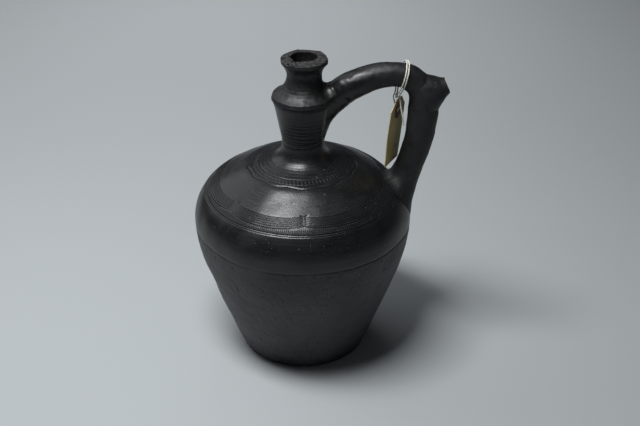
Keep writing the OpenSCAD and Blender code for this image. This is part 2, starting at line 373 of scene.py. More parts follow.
def mouth_relief(degrees, up, x, y, z):
    """The collar's rings, and a rim that is worn and chipped."""
    out = 0.12 * medium(x, y, z) + 0.07 * small(x, y, z)
    waist = smoothstep(z, 276, 280) * (1 - smoothstep(z, 292, 296))
    out += 0.05 * np.sin(2 * math.pi * z / 2.9) * waist
    around = from_angle(degrees, CHIP_A)
    chip = ridge(around, 34) * smoothstep(z, 302.5, 308)
    chip += 0.5 * ridge(around + 60, 26) * smoothstep(z, 306, 309)
    out -= 1.4 * chip * (1 + 0.3 * fine(x, y, z))
    half_facet = 180 / FACETS
    facet = (degrees + 14) % (2 * half_facet) - half_facet
    flat = 1 - cosd(half_facet) / np.cos(np.radians(facet))
    out -= 7.5 * flat * smoothstep(z, 299, 306) * smoothstep(np.hypot(x, y), 15, 19)
    return out


def neck_shift(z):
    """How far the jug's axis lies to the handle's side at a height."""
    return NECK_SHIFT * smoothstep(z, 190, 225) + RIM_SHIFT * smoothstep(z, 262, 296)


def ring_points(outline, s, relief):
    """A ring of points at each distance s along the outline, moved out of the wall by its relief."""
    line = resample(outline, s)
    reach = 0.15
    after = resample(outline, np.minimum(s + reach, lengths(outline)[-1]))
    before = resample(outline, np.maximum(s - reach, 0))
    tangent = after - before
    tangent /= np.linalg.norm(tangent, axis=1)[:, None]
    degrees = np.linspace(-180, 180, SEGMENTS, endpoint=False)[None, :]
    c, q = np.cos(np.radians(degrees)), np.sin(np.radians(degrees))
    r, z = line[:, :1], line[:, 1:]
    up = (s - belly_s)[:, None]
    out = relief(degrees, up, r * c, r * q, z + 0 * degrees) if relief else 0 * (r + degrees)
    r = r + out * tangent[:, 1:]
    z = np.maximum(z - out * tangent[:, :1], 0)
    back = BORE_BACK * smoothstep(z, 284, 306) * (1 - smoothstep(r, 13, 21))
    return np.stack([r * c + neck_shift(z), r * q + back, z], axis=-1)


def shell(name, outline, s, relief, inside, poles=False):
    """A closed shell of revolution: outside along the outline, then inside back to the start. The
    points of inside are (radius, height). With poles, the first and last rings close on the axis."""
    outer = ring_points(outline, s, relief)
    inside = np.array(inside, float)
    inner = ring_points(inside, lengths(inside), None)
    points = np.concatenate([outer, inner]).reshape(-1, 3)
    rings = len(outer) + len(inner)
    faces = grid_faces(rings, SEGMENTS, closed=not poles)
    crisp = [len(outer) - 1, len(outer)]
    if poles:
        points = np.concatenate([points, [(0, 0, outer[0, 0, 2]), (0, 0, inner[-1, 0, 2])]])
        faces += cap_faces(rings, SEGMENTS, len(points))
    else:
        crisp += [0, rings - 1]
    return make_mesh(name, points, faces, along_rings(SEGMENTS, crisp))


# ---- Materials ----
class Paint:
    """Builds a material's nodes. Each call adds one node and gives the socket of its result."""

    def __init__(self, name):
        self.material = bpy.data.materials.new(name)
        self.material.use_nodes = True
        self.tree = self.material.node_tree
        self.shader = self.tree.nodes["Principled BSDF"]
        self.place = self.node("ShaderNodeTexCoord").outputs["Object"]

    def node(self, kind, **settings):
        made = self.tree.nodes.new(kind)
        for key, value in settings.items():
            setattr(made, key, value)
        return made

    def put(self, socket, value):
        if isinstance(value, bpy.types.NodeSocket):
            self.tree.links.new(value, socket)
        else:
            socket.default_value = value

    def math(self, operation, a, b=0.0):
        made = self.node("ShaderNodeMath", operation=operation)
        self.put(made.inputs[0], a)
        self.put(made.inputs[1], b)
        return made.outputs[0]

    def plus(self, a, b):
        return self.math("ADD", a, b)

    def times(self, a, b):
        return self.math("MULTIPLY", a, b)

    def split(self, vector):
        made = self.node("ShaderNodeSeparateXYZ")
        self.put(made.inputs[0], vector)
        return made.outputs

    def vector(self, x, y, z):
        made = self.node("ShaderNodeCombineXYZ")
        for socket, value in zip(made.inputs, (x, y, z)):
            self.put(socket, value)
        return made.outputs[0]

    def noise(self, scale, detail=3.0, rough=0.55, vector=None):
        made = self.node("ShaderNodeTexNoise")
        self.put(made.inputs["Vector"], self.place if vector is None else vector)
        made.inputs["Scale"].default_value = scale
        made.inputs["Detail"].default_value = detail
        made.inputs["Roughness"].default_value = rough
        return made.outputs["Fac"]

    def cells(self, scale):
        """Distance to the nearest of many scattered points, and a random number for each of them."""
        made = self.node("ShaderNodeTexVoronoi")
        self.put(made.inputs["Vector"], self.place)
        made.inputs["Scale"].default_value = scale
        return made.outputs["Distance"], self.split(made.outputs["Color"])[0]

    def fit(self, value, low, high, to_low=0.0, to_high=1.0):
        """A smooth step of the value, from to_low at low to to_high at high."""
        made = self.node("ShaderNodeMapRange", interpolation_type="SMOOTHSTEP")
        for socket, number in zip(made.inputs, (value, low, high, to_low, to_high)):
            self.put(socket, number)
        return made.outputs[0]

    def mix(self, factor, a, b):
        made = self.node("ShaderNodeMix", data_type="RGBA")
        self.put(made.inputs["Factor"], factor)
        self.put(made.inputs["A"], a)
        self.put(made.inputs["B"], b)
        return made.outputs["Result"]

    def bump(self, height, depth, normal=None):
        """Relief of the given depth in metres, on top of the relief that normal already has."""
        made = self.node("ShaderNodeBump")
        made.inputs["Strength"].default_value = 1.0
        made.inputs["Distance"].default_value = depth
        self.put(made.inputs["Height"], height)
        if normal is not None:
            self.put(made.inputs["Normal"], normal)
        return made.outputs["Normal"]

    def set(self, **inputs):
        """Sets or links the shader's inputs, and gives the finished material."""
        for key, value in inputs.items():
            self.put(self.shader.inputs[key.replace("_", " ")], value)
        return self.material


def grey(value, warmth=0.0):
    """The clay's grey, a little blue unless warmth is added."""
    return (value * (1 + warmth), value, value * (1 + 0.09 - warmth), 1)


def round_streaks(paint, flat, reach):
    """Noise drawn out round the jug, as a burnishing stone leaves it. flat is how flat the streaks
    are, which are told apart by a height that also changes along the shoulder's slope."""
    x, y, z = paint.split(paint.place)
    radius = paint.math("SQRT", paint.plus(paint.times(x, x), paint.times(y, y)))
    radius = paint.math("MAXIMUM", radius, 0.001)
    height = paint.times(paint.math("SUBTRACT", z, paint.times(radius, 0.6)), flat)
    return paint.noise(reach, vector=paint.vector(
        paint.math("DIVIDE", x, radius), paint.math("DIVIDE", y, radius), height))


def add_dust(paint, colour, rough, share=0.90, scale=290):
    """Small pale specks of dust lying on the clay."""
    distance, pick = paint.cells(scale)
    speck = paint.times(paint.fit(distance, 0.16, 0.06), paint.fit(pick, share, share + 0.08))
    return paint.mix(speck, colour, grey(0.24)), paint.math("MAXIMUM", rough, speck)


def burnished(name, around=True, dull=0.0, extra=None):
    """Black clay polished with a stone: half glossy, with streaks, faint patches and fine scratches.
    dull adds to its roughness. extra changes its colour, roughness and relief in places."""
    paint = Paint(name)
    patches = paint.noise(26, 4)
    streaks = round_streaks(paint, 190, 3.6) if around else paint.noise(160, 3)
    strokes = round_streaks(paint, 420, 5.5) if around else paint.noise(420, 2)
    blotch = paint.fit(paint.plus(patches, paint.times(streaks, 0.45)), 0.55, 0.95)
    colour = paint.mix(blotch, grey(0.0045), grey(0.012))
    worn = paint.fit(paint.noise(11, 5, 0.65), 0.56, 0.72)
    colour = paint.mix(paint.times(worn, 0.55), colour, grey(0.020, 0.03))
    rough = paint.plus(paint.fit(streaks, 0.3, 0.75, 0.31 + dull, 0.38 + dull),
                       paint.times(worn, 0.12))
    grain = paint.noise(1500, 2)
    relief = paint.bump(paint.noise(150, 3), 0.00014)
    relief = paint.bump(strokes, 0.00003, relief)
    relief = paint.bump(grain, 0.00004, relief)
    pit, pick = paint.cells(420)
    pits = paint.times(paint.fit(pit, 0.24, 0.08), paint.fit(pick, 0.80, 0.84))
    relief = paint.bump(paint.times(pits, -1.0), 0.00020, relief)
    if extra:
        colour, rough, relief = extra(paint, colour, rough, relief)
    colour, rough = add_dust(paint, colour, rough)
    return paint.set(Base_Color=colour, Roughness=rough, Normal=relief, IOR=1.5)


def height_at(up):
    """Height above the base at a distance up the wall from the belly, in metres."""
    return float(np.interp(belly_s + up, outside_s, outside[:, 1])) * MM


def tick_marks(paint, colour, rough, relief):
    """A band of short upright nicks round the shoulder, just above the double groove."""
    x, y, z = paint.split(paint.place)
    turn = paint.times(paint.math("ARCTAN2", y, x), NICKS)
    nick = paint.fit(paint.math("SINE", turn), 0.1, 0.9)
    bottom, top = height_at(NICKS_FROM), height_at(NICKS_TO)
    edge = 0.4 * MM
    above = paint.fit(z, bottom - edge, bottom + edge)
    below = paint.fit(z, top + edge, top - edge)
    mark = paint.times(nick, paint.times(above, below))
    return (paint.mix(paint.times(mark, 0.5), colour, grey(0.009)),
            paint.plus(rough, paint.times(mark, 0.15)),
            paint.bump(paint.times(mark, -1.0), 0.0005, relief))


def worn_elbow(paint, colour, rough, relief):
    """The handle is dulled by use from half-way along its arm."""
    x = paint.split(paint.place)[0]
    return colour, paint.plus(rough, paint.fit(x, 0.046, 0.074, 0.0, 0.24)), relief


def worn_rim(paint, colour, rough, relief):
    """The top of the rim, worn to a brown-grey matte crust."""
    height = paint.split(paint.place)[2]
    ragged = paint.plus(height, paint.times(paint.noise(220, 4), 0.006))
    worn = paint.fit(ragged, 0.3105, 0.3125)
    crust = paint.mix(paint.fit(paint.noise(300, 4), 0.40, 0.65), grey(0.008, 0.06), grey(0.040, 0.08))
    return (paint.mix(worn, colour, crust),
            paint.math("MAXIMUM", rough, paint.times(worn, 0.8)),
            paint.bump(paint.times(paint.noise(520, 4), worn), 0.0007, relief))


def matte_clay():
    """The unburnished wall below the belly: grey-black, streaked and pitted, with painted shade
    darkening its pits.
    """
    paint = Paint("matte_clay")
    streaks = round_streaks(paint, 70, 3.2)
    patches = paint.noise(19, 5, 0.62)
    mottled = paint.fit(paint.plus(patches, paint.times(streaks, 0.5)), 0.55, 1.0)
    colour = paint.mix(mottled, grey(0.010), grey(0.032))
    rubbed = paint.fit(paint.noise(7, 4, 0.6), 0.52, 0.68)
    colour = paint.mix(paint.times(rubbed, 0.6), colour, grey(0.044, 0.02))
    pit, pick = paint.cells(270)
    pits = paint.times(paint.fit(pit, 0.34, 0.12), paint.fit(pick, 0.66, 0.70))
    # Painted shade: the pits' colour is darkened as if shade falls into the small hollows.
    colour = paint.mix(paint.times(pits, 0.75), colour, grey(0.006))
    rough = paint.fit(paint.plus(streaks, rubbed), 0.3, 1.5, 0.50, 0.64)
    relief = paint.bump(paint.noise(120, 4), 0.0007)
    relief = paint.bump(paint.noise(900, 3), 0.00012, relief)
    relief = paint.bump(paint.times(pits, -1.0), 0.0005, relief)
    colour, rough = add_dust(paint, colour, rough, 0.92, 210)
    return paint.set(Base_Color=colour, Roughness=rough, Normal=relief, IOR=1.5)


def broken_clay():
    """The rough inside of the clay where the spout has broken off."""
    paint = Paint("broken_clay")
    lumps = paint.noise(330, 5, 0.65)
    colour = paint.mix(lumps, grey(0.014), grey(0.075, 0.04))
    relief = paint.bump(lumps, 0.0009)
    return paint.set(Base_Color=colour, Roughness=0.85, Normal=relief)


def card():
    """Old buff card, with long fibres, handling stains and faint mottling."""
    paint = Paint("tag_card")
    stains = paint.fit(paint.noise(48, 4), 0.40, 0.72)
    fibres = paint.noise(900, 3)
    colour = paint.mix(stains, (0.68, 0.56, 0.27, 1), (0.50, 0.40, 0.16, 1))
    colour = paint.mix(paint.fit(fibres, 0.45, 0.8, 0.0, 0.35), colour, (0.60, 0.50, 0.30, 1))
    relief = paint.bump(fibres, 0.00008, paint.bump(paint.noise(130, 2), 0.0004))
    return paint.set(Base_Color=colour, Roughness=0.72, Normal=relief)


def patch_fibre():
    """The red-brown hardened fibre of the patches round the tag's hole."""
    paint = Paint("patch")
    mottled = paint.noise(380, 4)
    colour = paint.mix(mottled, (0.075, 0.020, 0.012, 1), (0.17, 0.055, 0.032, 1))
    return paint.set(Base_Color=colour, Roughness=0.6, Normal=paint.bump(mottled, 0.00012))


def cotton():
    """Off-white cotton: matte, a little soiled, with fine fibres."""
    paint = Paint("cotton")
    soiled = paint.fit(paint.noise(110, 3), 0.42, 0.75)
    colour = paint.mix(soiled, (0.74, 0.72, 0.64, 1), (0.50, 0.47, 0.38, 1))
    fibres = paint.noise(4200, 2)
    return paint.set(Base_Color=colour, Roughness=0.9, Normal=paint.bump(fibres, 0.00008),
                     Sheen_Weight=0.25, Sheen_Roughness=0.5)


# ---- Camera and cord ----
CAMERA_AT = (0, -0.9174, 0.6826)
# The camera's lean from straight down, and its turn about the vertical, in degrees
CAMERA_LEAN, CAMERA_TURN = 59.586, -1.078
LENS, SENSOR = 60, 36


def camera():
    data = bpy.data.cameras.new("camera")
    data.lens = LENS
    data.sensor_width = SENSOR
    obj = link(bpy.data.objects.new("camera", data))
    obj.location = CAMERA_AT
    obj.rotation_euler = (math.radians(CAMERA_LEAN), 0, math.radians(CAMERA_TURN))
    bpy.context.scene.camera = obj


# The string's route, in millimetres, as in the CAD design: from the tag's hole, twice round the
# elbow in a plane that leans with it, and down into a short tail.
LOOP_A = 15
LOOP_CENTRE = (ELBOW_C[0] + ELBOW_ROUND * sind(LOOP_A), 0, ELBOW_C[1] + ELBOW_ROUND * cosd(LOOP_A))
KNOT_H = -21.2
STRING_D, STRANDS = 1.4, 3
EYE_ROUTE = [
    (90.6, -0.3, 270.3), (92.7, -0.4, 267.9), (93.6, 0, 265), (93.6, 0.3, 261.6), (93.2, 0.6, 258.6),
    (91, 1.5, 257), (88.8, 2.4, 258.6), (88, 2.7, 262), (87, 2.6, 266), (86.4, 2.1, 270)]
LOOP_ROUTE = [
    (-2.2, 1.5, -19), (-2.1, 6.5, -15), (-2, 10.3, -10), (-1.9, 13.4, -3.7), (-1.7, 13, 4.9),
    (-1.4, 8.9, 10.7), (-1.1, 0, 13.9), (-0.8, -8.9, 10.7), (-0.5, -13, 4.9), (-0.3, -13.4, -3.7),
    (-0.2, -10.3, -10), (-0.1, -6.5, -15), (0, 0, -20), (0.1, 6.5, -15), (0.2, 10.3, -10),
    (0.3, 13.4, -3.7), (0.5, 13, 4.9), (0.8, 8.9, 10.7), (1.1, 0, 13.9), (1.4, -8.9, 10.7),
    (1.7, -13, 4.9), (1.9, -13.4, -3.7), (2, -10.3, -10), (2.1, -6.5, -15), (2.2, -2.6, -19.4)]
TAIL_ROUTE = [(92.4, -3, 268), (93, -5, 262), (94.2, -6.8, 256), (95.4, -7.8, 250), (96, -8, 244)]


def loop_point(p):
    """A point of the loop's own plane: its place along the handle, across it and up."""
    along, across, up = p
    return (LOOP_CENTRE[0] + along * cosd(LOOP_A) + up * sind(LOOP_A), across,
            LOOP_CENTRE[2] - along * sind(LOOP_A) + up * cosd(LOOP_A))


def smooth_route(p):
    """One more point half-way along each stretch, on a smooth curve through its neighbours."""
    out = []
    for i in range(len(p) - 1):
        a, b, c, d = (np.array(p[k], float) for k in (max(i - 1, 0), i, i + 1, min(i + 2, len(p) - 1)))
        out += [b, (9 * (b + c) - a - d) / 16]
    return out + [np.array(p[-1], float)]


def twisted(name, path, radius, sides, pitch, closed=False):
    """A cord of strands twisted together, along a path. pitch is the length of one twist."""
    path = np.array(path, float)
    if closed:
        tangent = np.roll(path, -1, axis=0) - np.roll(path, 1, axis=0)
    else:
        tangent = np.gradient(path, axis=0)
    tangent /= np.linalg.norm(tangent, axis=1)[:, None]
    side = np.array([0.0, 1.0, 0.0])
    sides_of = []
    for t in tangent:
        side = side - (side @ t) * t
        side = side / np.linalg.norm(side)
        sides_of.append(side)
    u = np.array(sides_of)[:, None, :]
    v = np.cross(tangent, u[:, 0])[:, None, :]
    a = np.linspace(0, 2 * math.pi, sides, endpoint=False)[None, :]
    s = lengths(path)[:, None]
    r = radius * (0.88 + 0.12 * np.cos(STRANDS * (a - 2 * math.pi * s / pitch)))
    spread = np.cos(a)[:, :, None] * u + np.sin(a)[:, :, None] * v
    points = path[:, None, :] + r[:, :, None] * spread
    rings = len(path)
    faces = grid_faces(rings, sides, closed)
    if not closed:
        faces += [list(range(sides))[::-1], [(rings - 1) * sides + k for k in range(sides)]]
    return make_mesh(name, points.reshape(-1, 3), faces)


def knot(material):
    """The knot that ties the loop: one strand wound through itself."""
    t = np.linspace(0, 2 * math.pi, 160, endpoint=False)
    size = 0.62
    curve = size * np.column_stack([
        np.sin(t) + 2 * np.sin(2 * t), np.cos(t) - 2 * np.cos(2 * t), -1.15 * np.sin(3 * t)])
    path = curve[:, [2, 0, 1]] * 0.98 + np.array(loop_point((0, 0, KNOT_H)))
    obj = twisted("knot", path, 0.82, 12, 4.4, closed=True)
    return finish_piece(obj, "string", material, "cotton", "string_knot")


def string_and_knot():
    material = cotton()
    route = EYE_ROUTE + [loop_point(p) for p in LOOP_ROUTE] + TAIL_ROUTE
    path = smooth_route(smooth_route(smooth_route(route)))
    obj = twisted("string", path, 0.5 * STRING_D, 15, 4.2)
    finish_piece(obj, "string", material, "cotton", "tag_string")
    knot(material)


# ---- Tag ----
TAG_W, TAG_H, TAG_T, TAG_CLIP = 33, 67, 0.6, 10
HOLE_DROP, HOLE_R, PATCH_R, PATCH_T = 12, 2.5, 8.5, 0.4
TAG_AT, TAG_TURN, TAG_LEAN, TAG_TILT = (91, 1.5, 256), 63, 4, 3


def curl(x, y):
    """How far the card has curled away from flat: its foot and its near edge bend back."""
    down = np.clip(-y / 55, 0, 1)
    near = np.clip(-x / 16.5, 0, 1)
    sway = 0.6 * np.sin(y / 9.5 + 0.6) * near
    return -0.9 * down ** 2 - 0.6 * near ** 2 + sway * (0.3 + down)


def hang(points):
    """Puts points drawn round the tag's hole, with +Y up, where the tag hangs."""
    x, y, z = points[:, 0], points[:, 1], points[:, 2]
    c, s = cosd(-TAG_LEAN), sind(-TAG_LEAN)
    x, y = c * x - s * y, s * x + c * y
    c, s = cosd(TAG_TILT), sind(TAG_TILT)
    x, y, z = x, -c * z - s * y, c * y - s * z
    c, s = cosd(TAG_TURN), sind(TAG_TURN)
    return np.column_stack([c * x - s * y, s * x + c * y, z]) + np.array(TAG_AT)


def plate(name, edge, steps, low, high):
    """A curled plate with the tag's round hole, from low to high in its thickness. edge gives the
    distance of its outline in a direction."""
    corners = [math.atan2(q, p) for p, q in card_corners()]
    angles = np.concatenate([np.linspace(-math.pi, math.pi, 145)[:-1], corners])
    angles = np.unique(np.round(angles, 5))
    c, s = np.cos(angles), np.sin(angles)
    outer = edge(c, s)
    share = np.linspace(0, 1, steps)[:, None]
    r = HOLE_R + (outer - HOLE_R) * share
    x, y = r * c, r * s
    lift = curl(x, y)
    top = np.stack([x, y, lift + high], axis=-1)
    bottom = np.stack([x, y, lift + low], axis=-1)[::-1]
    points = hang(np.concatenate([top, bottom]).reshape(-1, 3))
    count = len(angles)
    rims = along_rings(count, [0, steps - 1, steps, 2 * steps - 1])
    return make_mesh(name, points, grid_faces(2 * steps, count, closed=True), rims)


def card_corners():
    """Corners of the card, drawn round its hole. The two top corners are clipped."""
    side, top, bottom = TAG_W / 2, HOLE_DROP, HOLE_DROP - TAG_H
    return [(-side, bottom), (side, bottom), (side, top - TAG_CLIP), (side - TAG_CLIP, top),
            (TAG_CLIP - side, top), (-side, top - TAG_CLIP)]


def card_edge(c, s):
    """Distance from the hole's centre to the card's outline, in the direction (c, s)."""
    corners = card_corners()
    reach = np.full(c.shape, 1e9)
    for (px, py), (qx, qy) in zip(corners, corners[1:] + corners[:1]):
        nx, ny = qy - py, px - qx
        facing = nx * c + ny * s
        distance = (nx * px + ny * py) / np.where(facing > 1e-9, facing, 1e-9)
        reach = np.where(facing > 1e-9, np.minimum(reach, distance), reach)
    return reach


def patch_edge(c, s):
    """Distance from the hole's centre to a patch's slightly ragged outline."""
    return PATCH_R + 0.12 * np.sin(7 * np.arctan2(s, c))


def tag():
    half = TAG_T / 2
    body = plate("card", card_edge, 46, -half, half)
    finish_piece(body, "tag", card(), "tag_card", "tag_card")
    fibre = patch_fibre()
    front = plate("front_patch", patch_edge, 8, half, half + PATCH_T)
    finish_piece(front, "tag", fibre, "patch", "patch_front")
    back = plate("back_patch", patch_edge, 8, -half - PATCH_T, -half)
    finish_piece(back, "tag", fibre, "patch", "patch_back")


# ---- Body pieces ----
def lower_piece():
    inside = np.concatenate([
        arc(lower_centre, LOWER_ARC_R - WALL, inner_seam_a, -LOWER_ARC_A, 6),
        [(BASE_R - 1, FLOOR_T + 12), (BASE_R - 9, FLOOR_T + 2), (BASE_R - 14, FLOOR_T), (4, FLOOR_T)]])
    rings = rings_between(0, seam_s)
    obj = shell("lower_wall", outside, rings, lower_relief, inside, poles=True)
    finish_piece(obj, "jug", matte_clay(), "matte_clay", "lower_body")


def shoulder_piece():
    inside = np.concatenate([
        [(18, root_top[1]), (24, root_top[1] - 5)],
        arc(shoulder_centre, SHOULDER_ROUND - WALL, SHOULDER_A, 0, 9),
        arc(lower_centre, LOWER_ARC_R - WALL, 0, inner_seam_a, 3)])
    rings = rings_between(seam_s, neck_seam_s)
    obj = shell("shoulder_wall", outside, rings, shoulder_relief, inside)
    clay = burnished("shoulder_clay", extra=tick_marks)
    finish_piece(obj, "jug", clay, "burnished_clay", "shoulder")


def neck_piece():
    inside = [(neck_top_r - 8, MOUTH_Z), (flare_end[0] - NECK_WALL, flare_end[1]),
              (NECK_R - NECK_WALL, NECK_Z), (18, root_top[1])]
    rings = np.linspace(neck_seam_s, outside_s[-1], 130)
    obj = shell("neck_wall", outside, rings, neck_relief, inside)
    finish_piece(obj, "jug", burnished("neck_clay"), "burnished_clay", "neck")


def mouth_piece():
    line = soften(mouth_outline, MOUTH_SOFT)
    total = lengths(line)[-1]
    straight = total - BORE_LENGTH + 1
    rings = np.concatenate([np.arange(0, straight, 0.62), np.linspace(straight, total, 12)])
    inside = [(BORE_R + 0.3, JUG_H - BORE_LENGTH - 0.5), (neck_top_r - 9, MOUTH_Z + 6),
              (neck_top_r - 8, MOUTH_Z + 0.05)]
    obj = shell("mouth_wall", line, rings, mouth_relief, inside)
    clay = burnished("mouth_clay", dull=0.16, extra=worn_rim)
    finish_piece(obj, "jug", clay, "burnished_clay", "mouth")


# ---- Handle ----
ARM_LENGTH = ARM_ROUND * math.radians(ARM_A - 90)
ELBOW_LENGTH = ELBOW_ROUND * math.radians(90)
ELBOW_AT = ARM_LENGTH
POST_AT = ARM_LENGTH + ELBOW_LENGTH

# The roots of the arm and the post start at these distances along the handle, and sink this far
# into the jug.
ARM_ROOT_AT, POST_ROOT_AT, ROOT_DEPTH = 17, POST_AT + 66, 3.5
# A ray that looks for the skin of the clay goes this far, in these steps.
RAY_REACH, RAY_STEP = 64, 0.4
ACROSS = np.array([0.0, 1.0, 0.0])

# The bar's reach from its centreline to its outer and inner side, at distances along it.
BAR_AT = (0, 27, 54, 78, 96, 112, 142, 182, 222)
BAR_OUT = (14.4, 13.8, 12.3, 12.1, 12.5, 14.2, 13.8, 12.0, 13.0)
BAR_IN = (12.2, 13.4, 12.6, 12.1, 12.9, 14.8, 14.9, 15.3, 15.2)


def centreline(u):
    """The point at distance u along the handle, and the direction there towards its outer side."""
    if u < ELBOW_AT:
        centre, radius, a = ARM_C, ARM_ROUND, ARM_A - math.degrees(u / ARM_ROUND)
    elif u < POST_AT:
        centre, radius, a = ELBOW_C, ELBOW_ROUND, 90 - math.degrees((u - ELBOW_AT) / ELBOW_ROUND)
    else:
        centre, radius, a = POST_C, POST_ROUND, -math.degrees((u - POST_AT) / POST_ROUND)
    out = np.array([cosd(a), 0, sind(a)])
    return np.array([centre[0], 0, centre[1]]) + radius * out, out


def smoothed(u, reaches):
    """One of the bar's lists of reaches at distance u, averaged over the stretch round it."""
    offsets = np.linspace(-12, 12, 9)
    weights = np.exp(-(offsets / 7) ** 2)
    total = sum(w * np.interp(u + d, BAR_AT, reaches) for w, d in zip(weights, offsets))
    return total / weights.sum()


def bar_reach(u, cosine):
    """The bar's radius at distance u, where cosine is 1 towards its outer side and -1 inwards."""
    out, inner = smoothed(u, BAR_OUT), smoothed(u, BAR_IN)
    return 0.5 * (out + inner) + 0.5 * (out - inner) * cosine


def jug_distance():
    """Distance from the jug's outside at any point, negative inside the clay, read off a grid."""
    line = np.concatenate([outside, soften(mouth_outline, MOUTH_SOFT)[1:]])
    line = line[:np.argmax(line[:, 1] > JUG_H - 0.1)]
    dense = resample(line, np.arange(0, lengths(line)[-1], 0.3))
    step, far, low_z, high_z = 0.5, 150, 120, 330
    r = np.arange(0, far, step)
    z = np.arange(low_z, high_z, step)
    near = dense[dense[:, 1] > low_z - 20]
    edge = np.interp(z, line[:, 1], line[:, 0])
    grid = np.empty((len(z), len(r)))
    for i, height in enumerate(z):
        gap = np.hypot(r[:, None] - near[None, :, 0], height - near[None, :, 1]).min(axis=1)
        grid[i] = np.where(r < (edge[i] if height < JUG_H else 0), -gap, gap)

    def distance(p):
        lumps = wobble(p[..., 0], p[..., 1], p[..., 2])
        x = p[..., 0] - neck_shift(p[..., 2])
        a = np.clip(np.hypot(x, p[..., 1]) / step, 0, len(r) - 1.001)
        b = np.clip((p[..., 2] - low_z) / step, 0, len(z) - 1.001)
        i, j = b.astype(int), a.astype(int)
        fb, fa = b - i, a - j
        return ((grid[i, j] * (1 - fa) + grid[i, j + 1] * fa) * (1 - fb)
                + (grid[i + 1, j] * (1 - fa) + grid[i + 1, j + 1] * fa) * fb) - lumps

    return distance


def handle_relief(points):
    """Unevenness of the handle, as pulled and smoothed by hand."""
    x, y, z = points[..., 0], points[..., 1], points[..., 2]
    return 0.30 * medium(x, y, z) + 0.07 * small(x, y, z) + 0.25 * broad(x, y, z)


# Each stretch of the bar: its arc's centre and radius, its lowest and highest angle, and the distance
# along the handle at which its angle would be zero.
ARM_BAR = (ARM_C, ARM_ROUND, math.radians(90), math.radians(165), math.radians(ARM_A) * ARM_ROUND)
ELBOW_BAR = (ELBOW_C, ELBOW_ROUND, 0, math.radians(90), POST_AT)
POST_BAR = (POST_C, POST_ROUND, math.radians(-34), 0, POST_AT)


def bar_distance(p, bar):
    """Distance from the surface of a stretch of the bar."""
    centre, radius, low, high, zero_at = bar
    x, z = p[..., 0] - centre[0], p[..., 2] - centre[1]
    a = np.clip(np.arctan2(z, x), low, high)
    c, q = np.cos(a), np.sin(a)
    x, z = x - radius * c, z - radius * q
    gap = np.maximum(np.sqrt(x ** 2 + p[..., 1] ** 2 + z ** 2), 1e-6)
    return gap - bar_reach(zero_at - a * radius, (x * c + z * q) / gap)


def grow(centre, directions, bar, base, blend, depth=None):
    """Points where rays from the centre leave the clay, which is a bar blended into a base shape.
    Away from the bar, the blended skin sinks under the base's own surface. With a depth, a ray also
    ends where it is that deep in the base."""
    reach = np.arange(0, RAY_REACH, RAY_STEP)
    p = centre + directions[:, None, :] * reach[:, None]
    bar_gap = bar(p)
    base_gap = base(p)
    ground = base_gap + 0.35 + 0.16 * np.maximum(bar_gap, 0)
    blend = np.broadcast_to(blend, len(directions))[:, None]
    h = np.maximum(blend - np.abs(bar_gap - ground), 0) / blend
    field = np.minimum(bar_gap, ground) - h * h * blend / 4
    if depth:
        field = np.maximum(field, -(base_gap + depth))
    field[:, -1] = 1
    out = np.maximum(np.argmax(field > 0, axis=1), 1)
    rows = np.arange(len(out))
    before, after = field[rows, out - 1], field[rows, out]
    share = np.clip(before / np.where(before == after, -1e-9, before - after), 0, 1)
    return centre + directions * (reach[out - 1] + share * RAY_STEP)[:, None]


def handle_spread(out):
    """Directions all round the bar, starting towards its outer side."""
    phi = np.linspace(0, 2 * math.pi, HANDLE_SIDES, endpoint=False)
    return np.cos(phi)[:, None] * out + np.sin(phi)[:, None] * ACROSS


def swept(start, end):
    """Rings round a stretch of the handle's bar."""
    rings = []
    for u in np.linspace(start, end, math.ceil(abs(end - start) / 0.8) + 1):
        centre, out = centreline(u)
        spread = handle_spread(out)
        reach = bar_reach(u, spread @ out)
        reach = reach + handle_relief(centre + spread * reach[:, None])
        rings.append(centre + spread * reach[:, None])
    return rings


def rooted(free_end, last, bar, base, blend):
    """Rings round the bar from its free end to the last centre, and then a fan of rays that grows its
    root onto the base shape. blend is how widely the clay runs out there, for all rays or each."""
    def bar_gap(p):
        return bar_distance(p, bar) - handle_relief(p)

    rings = swept(free_end, last)
    centre, out = centreline(last)
    spread = handle_spread(out)
    along = np.cross(ACROSS, out) * (1 if last > free_end else -1)
    for tilt in np.arctan(np.concatenate([np.linspace(0.04, 3.2, 52), [3.8, 4.8, 6.5, 10]])):
        rays = math.cos(tilt) * spread + math.sin(tilt) * along
        rings.append(grow(centre, rays, bar_gap, base, blend, ROOT_DEPTH))
    return rings


def close_rings(name, rings, sharp_rings):
    """A closed mesh from rings of points, with its two ends filled and its faces looking outwards."""
    points = np.array(rings)
    count, sides = points.shape[:2]
    faces = grid_faces(count, sides)
    flat = points.reshape(-1, 3)
    flat = np.concatenate([flat, points[:1].mean(axis=1), points[-1:].mean(axis=1)])
    faces += cap_faces(count, sides, len(flat))
    obj = make_mesh(name, flat, faces, along_rings(sides, [ring % count for ring in sharp_rings]))
    if signed_volume(flat, faces) < 0:
        obj.data.flip_normals()
    return obj


def signed_volume(points, faces):
    """Above zero if the four-sided faces look outwards."""
    origin = points.mean(axis=0)
    quads = np.array([f for f in faces if len(f) == 4])
    a, b, c, d = (points[quads[:, i]] - origin for i in range(4))
    return (np.einsum("ij,ij->i", a, np.cross(b, c)) + np.einsum("ij,ij->i", a, np.cross(c, d))).sum()


def spout_radius(s):
    """The spout's radius at a distance along it."""
    return np.interp(s, SPOUT_PLACES, SPOUT_RADII)


